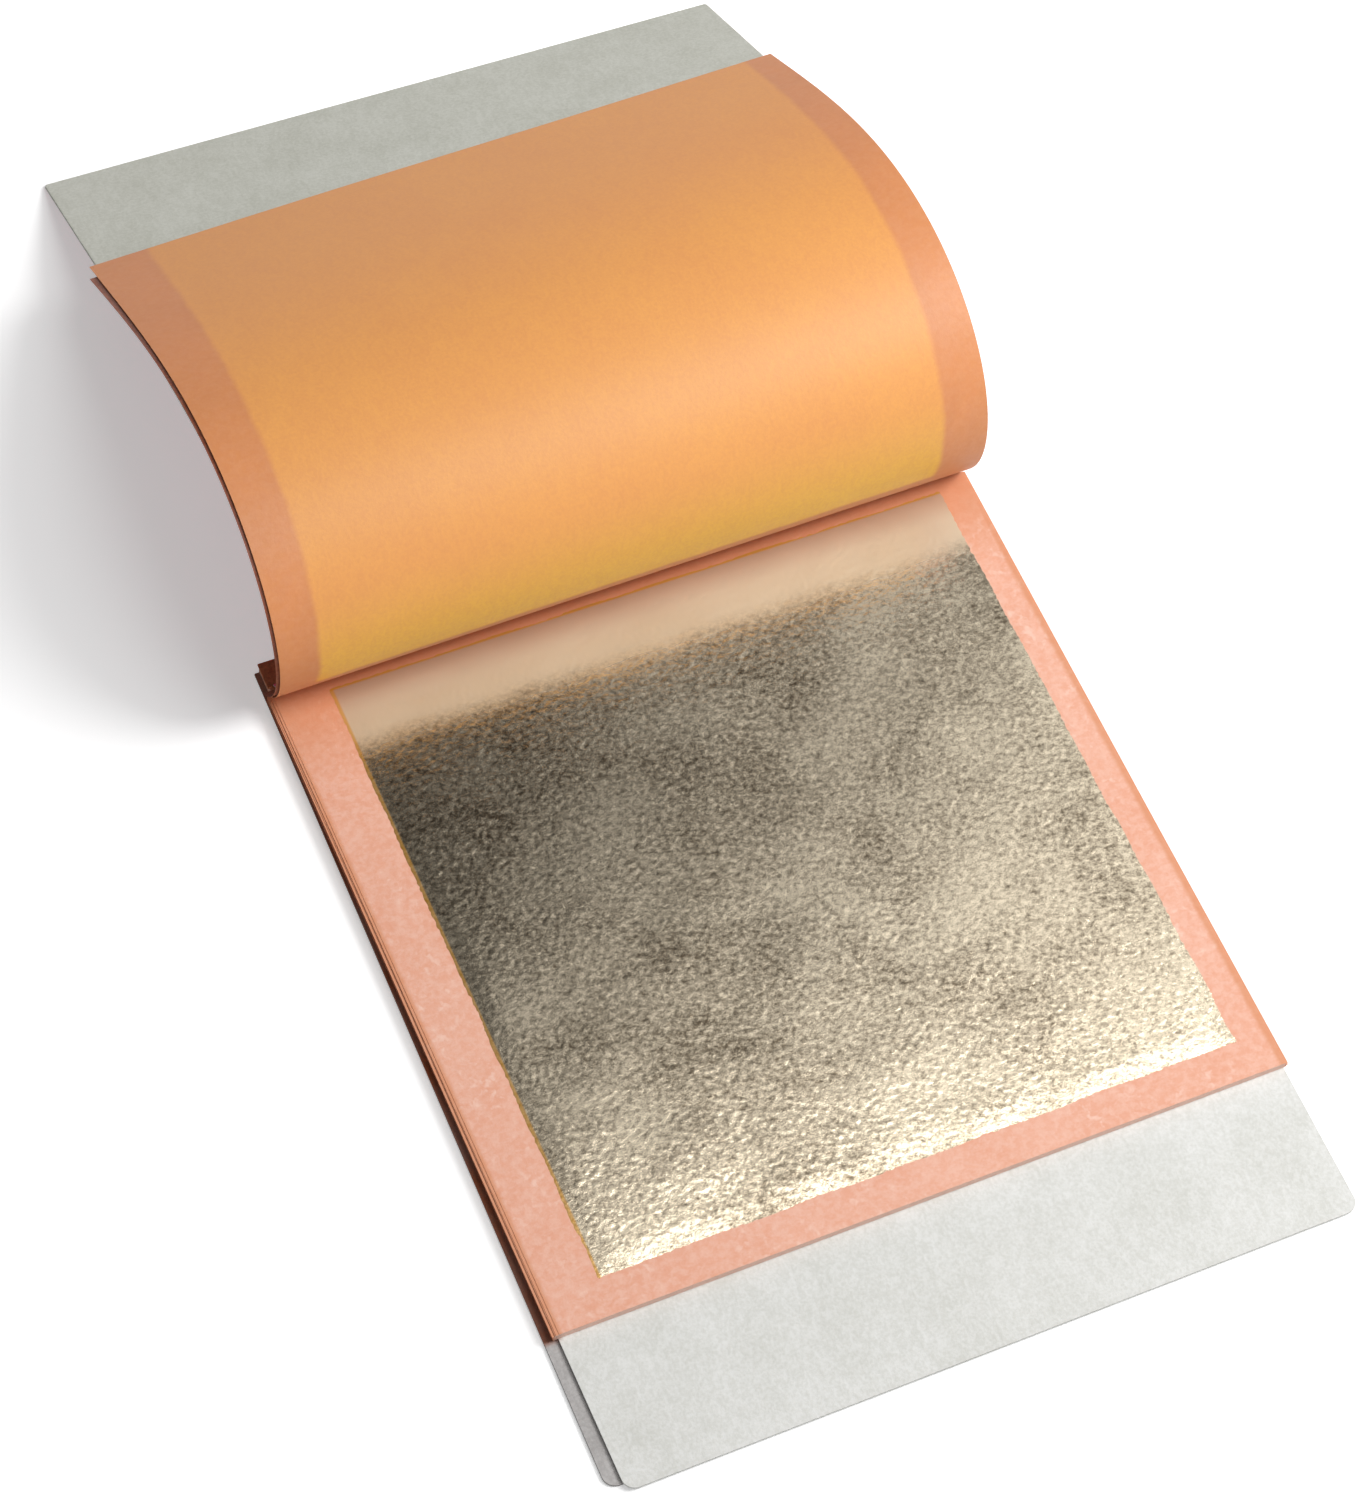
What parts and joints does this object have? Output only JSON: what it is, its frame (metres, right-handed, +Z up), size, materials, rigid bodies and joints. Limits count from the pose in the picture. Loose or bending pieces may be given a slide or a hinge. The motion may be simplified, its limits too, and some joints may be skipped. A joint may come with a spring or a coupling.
{
  "type": "gold leaf booklet",
  "caption": "Bound booklet of square metal leaves between rouged tissue leaves in card covers, lying open with the turned sheets arched over the fold.",
  "frame": {"origin": "on the table, under the middle of the fold", "axes": "+X along the fold, +Y towards the turned sheets, -Y towards the closed block, +Z up from the table"},
  "size_m": [0.0926, 0.1843, 0.029],
  "materials": {
    "card": "soft matt grey-white card, fibrous",
    "backing": "soft matt grey-white card, fibrous",
    "tissue": "matt salmon rouged tissue with a fine mottle",
    "turned_tissue": "matt orange rouged tissue, the gold leaf showing through",
    "gold": "finely crinkled pale gold leaf",
    "bound_edge": "glued tissue edges",
    "staple_wire": "bright round wire"
  },
  "bodies": {
    "booklet": {"back_cover": "card", "backing_sheet": "backing", "bound_margin": "bound_edge", "front_cover_margin": "card", "staples": "staple_wire"},
    "front_cover": {"front_cover": "card"},
    "first_leaf": {"tissue_leaf_01": "turned_tissue", "gold_leaf_01": "gold"},
    "second_leaf": {"tissue_leaf_02": "turned_tissue"},
    "lifted_gold": {"gold_leaf_02": "gold"},
    "leaf_03": {"tissue_leaf_03": "tissue"},
    "leaf_04": {"tissue_leaf_04": "tissue", "gold_leaf_03": "gold"},
    "leaf_05": {"tissue_leaf_05": "tissue", "gold_leaf_04": "gold"},
    "leaf_06": {"tissue_leaf_06": "tissue", "gold_leaf_05": "gold"},
    "leaf_07": {"tissue_leaf_07": "tissue", "gold_leaf_06": "gold"},
    "leaf_08": {"tissue_leaf_08": "tissue", "gold_leaf_07": "gold"},
    "leaf_09": {"tissue_leaf_09": "tissue", "gold_leaf_08": "gold"},
    "leaf_10": {"tissue_leaf_10": "tissue", "gold_leaf_09": "gold"},
    "leaf_11": {"tissue_leaf_11": "tissue", "gold_leaf_10": "gold"},
    "leaf_12": {"tissue_leaf_12": "tissue", "gold_leaf_11": "gold"},
    "leaf_13": {"tissue_leaf_13": "tissue", "gold_leaf_12": "gold"},
    "leaf_14": {"tissue_leaf_14": "tissue", "gold_leaf_13": "gold"},
    "leaf_15": {"tissue_leaf_15": "tissue", "gold_leaf_14": "gold"},
    "leaf_16": {"tissue_leaf_16": "tissue", "gold_leaf_15": "gold"},
    "leaf_17": {"tissue_leaf_17": "tissue", "gold_leaf_16": "gold"},
    "leaf_18": {"tissue_leaf_18": "tissue", "gold_leaf_17": "gold"},
    "leaf_19": {"tissue_leaf_19": "tissue", "gold_leaf_18": "gold"},
    "leaf_20": {"tissue_leaf_20": "tissue", "gold_leaf_19": "gold"},
    "leaf_21": {"tissue_leaf_21": "tissue", "gold_leaf_20": "gold"},
    "leaf_22": {"tissue_leaf_22": "tissue", "gold_leaf_21": "gold"},
    "leaf_23": {"tissue_leaf_23": "tissue", "gold_leaf_22": "gold"},
    "leaf_24": {"tissue_leaf_24": "tissue", "gold_leaf_23": "gold"},
    "leaf_25": {"tissue_leaf_25": "tissue", "gold_leaf_24": "gold"},
    "leaf_26": {"tissue_leaf_26": "tissue", "gold_leaf_25": "gold"}
  },
  "joints": [
    {"name": "front_cover_hinge", "type": "hinge", "parent": "booklet", "child": "front_cover", "pos_m": [0, 0.0008, 0.00285], "axis": [1, 0, 0], "range_deg": [0, 12]},
    {"name": "first_leaf_hinge", "type": "hinge", "parent": "front_cover", "child": "first_leaf", "pos_m": [0, 0.00017, 0.00252], "axis": [1, 0, 0], "range_deg": [0, 8]},
    {"name": "second_leaf_hinge", "type": "hinge", "parent": "first_leaf", "child": "second_leaf", "pos_m": [0, 0, 0.00234], "axis": [1, 0, 0], "range_deg": [0, 8]},
    {"name": "block_fan", "type": "hinge", "parent": "booklet", "child": "leaf_03", "pos_m": [0, 0, 0.0019], "axis": [-1, 0, 0], "range_deg": [0, 24]},
    {"name": "gold_leaf_slide", "type": "slide", "parent": "leaf_03", "child": "lifted_gold", "axis": [0, -1, 0], "range_m": [0, 0.086]},
    {"name": "leaf_04_hinge", "type": "hinge", "parent": "booklet", "child": "leaf_04", "pos_m": [0, 0, 0.00185], "axis": [-1, 0, 0], "range_deg": [0, 23.02]},
    {"name": "leaf_05_hinge", "type": "hinge", "parent": "booklet", "child": "leaf_05", "pos_m": [0, 0, 0.0018], "axis": [-1, 0, 0], "range_deg": [0, 22.02]},
    {"name": "leaf_06_hinge", "type": "hinge", "parent": "booklet", "child": "leaf_06", "pos_m": [0, 0, 0.00175], "axis": [-1, 0, 0], "range_deg": [0, 21.02]},
    {"name": "leaf_07_hinge", "type": "hinge", "parent": "booklet", "child": "leaf_07", "pos_m": [0, 0, 0.0017], "axis": [-1, 0, 0], "range_deg": [0, 20.02]},
    {"name": "leaf_08_hinge", "type": "hinge", "parent": "booklet", "child": "leaf_08", "pos_m": [0, 0, 0.00165], "axis": [-1, 0, 0], "range_deg": [0, 19.02]},
    {"name": "leaf_09_hinge", "type": "hinge", "parent": "booklet", "child": "leaf_09", "pos_m": [0, 0, 0.0016], "axis": [-1, 0, 0], "range_deg": [0, 18.02]},
    {"name": "leaf_10_hinge", "type": "hinge", "parent": "booklet", "child": "leaf_10", "pos_m": [0, 0, 0.00155], "axis": [-1, 0, 0], "range_deg": [0, 17.02]},
    {"name": "leaf_11_hinge", "type": "hinge", "parent": "booklet", "child": "leaf_11", "pos_m": [0, 0, 0.0015], "axis": [-1, 0, 0], "range_deg": [0, 16.02]},
    {"name": "leaf_12_hinge", "type": "hinge", "parent": "booklet", "child": "leaf_12", "pos_m": [0, 0, 0.00145], "axis": [-1, 0, 0], "range_deg": [0, 15.02]},
    {"name": "leaf_13_hinge", "type": "hinge", "parent": "booklet", "child": "leaf_13", "pos_m": [0, 0, 0.0014], "axis": [-1, 0, 0], "range_deg": [0, 14.02]},
    {"name": "leaf_14_hinge", "type": "hinge", "parent": "booklet", "child": "leaf_14", "pos_m": [0, 0, 0.00135], "axis": [-1, 0, 0], "range_deg": [0, 13.02]},
    {"name": "leaf_15_hinge", "type": "hinge", "parent": "booklet", "child": "leaf_15", "pos_m": [0, 0, 0.0013], "axis": [-1, 0, 0], "range_deg": [0, 12.02]},
    {"name": "leaf_16_hinge", "type": "hinge", "parent": "booklet", "child": "leaf_16", "pos_m": [0, 0, 0.00125], "axis": [-1, 0, 0], "range_deg": [0, 11.02]},
    {"name": "leaf_17_hinge", "type": "hinge", "parent": "booklet", "child": "leaf_17", "pos_m": [0, 0, 0.0012], "axis": [-1, 0, 0], "range_deg": [0, 10.02]},
    {"name": "leaf_18_hinge", "type": "hinge", "parent": "booklet", "child": "leaf_18", "pos_m": [0, 0, 0.00115], "axis": [-1, 0, 0], "range_deg": [0, 9.02]},
    {"name": "leaf_19_hinge", "type": "hinge", "parent": "booklet", "child": "leaf_19", "pos_m": [0, 0, 0.0011], "axis": [-1, 0, 0], "range_deg": [0, 8.02]},
    {"name": "leaf_20_hinge", "type": "hinge", "parent": "booklet", "child": "leaf_20", "pos_m": [0, 0, 0.00105], "axis": [-1, 0, 0], "range_deg": [0, 7.02]},
    {"name": "leaf_21_hinge", "type": "hinge", "parent": "booklet", "child": "leaf_21", "pos_m": [0, 0, 0.001], "axis": [-1, 0, 0], "range_deg": [0, 6.02]},
    {"name": "leaf_22_hinge", "type": "hinge", "parent": "booklet", "child": "leaf_22", "pos_m": [0, 0, 0.00095], "axis": [-1, 0, 0], "range_deg": [0, 5.02]},
    {"name": "leaf_23_hinge", "type": "hinge", "parent": "booklet", "child": "leaf_23", "pos_m": [0, 0, 0.0009], "axis": [-1, 0, 0], "range_deg": [0, 4.02]},
    {"name": "leaf_24_hinge", "type": "hinge", "parent": "booklet", "child": "leaf_24", "pos_m": [0, 0, 0.00085], "axis": [-1, 0, 0], "range_deg": [0, 3.02]},
    {"name": "leaf_25_hinge", "type": "hinge", "parent": "booklet", "child": "leaf_25", "pos_m": [0, 0, 0.0008], "axis": [-1, 0, 0], "range_deg": [0, 2.02]},
    {"name": "leaf_26_hinge", "type": "hinge", "parent": "booklet", "child": "leaf_26", "pos_m": [0, 0, 0.00075], "axis": [-1, 0, 0], "range_deg": [0, 1.02]}
  ],
  "couplings": [
    {"joint": "leaf_04_hinge", "follows": "block_fan", "ratio": 0.9583},
    {"joint": "leaf_05_hinge", "follows": "block_fan", "ratio": 0.9167},
    {"joint": "leaf_06_hinge", "follows": "block_fan", "ratio": 0.875},
    {"joint": "leaf_07_hinge", "follows": "block_fan", "ratio": 0.8333},
    {"joint": "leaf_08_hinge", "follows": "block_fan", "ratio": 0.7917},
    {"joint": "leaf_09_hinge", "follows": "block_fan", "ratio": 0.75},
    {"joint": "leaf_10_hinge", "follows": "block_fan", "ratio": 0.7083},
    {"joint": "leaf_11_hinge", "follows": "block_fan", "ratio": 0.6667},
    {"joint": "leaf_12_hinge", "follows": "block_fan", "ratio": 0.625},
    {"joint": "leaf_13_hinge", "follows": "block_fan", "ratio": 0.5833},
    {"joint": "leaf_14_hinge", "follows": "block_fan", "ratio": 0.5417},
    {"joint": "leaf_15_hinge", "follows": "block_fan", "ratio": 0.5},
    {"joint": "leaf_16_hinge", "follows": "block_fan", "ratio": 0.4583},
    {"joint": "leaf_17_hinge", "follows": "block_fan", "ratio": 0.4167},
    {"joint": "leaf_18_hinge", "follows": "block_fan", "ratio": 0.375},
    {"joint": "leaf_19_hinge", "follows": "block_fan", "ratio": 0.3333},
    {"joint": "leaf_20_hinge", "follows": "block_fan", "ratio": 0.2917},
    {"joint": "leaf_21_hinge", "follows": "block_fan", "ratio": 0.25},
    {"joint": "leaf_22_hinge", "follows": "block_fan", "ratio": 0.2083},
    {"joint": "leaf_23_hinge", "follows": "block_fan", "ratio": 0.1667},
    {"joint": "leaf_24_hinge", "follows": "block_fan", "ratio": 0.125},
    {"joint": "leaf_25_hinge", "follows": "block_fan", "ratio": 0.0833},
    {"joint": "leaf_26_hinge", "follows": "block_fan", "ratio": 0.0417}
  ]
}
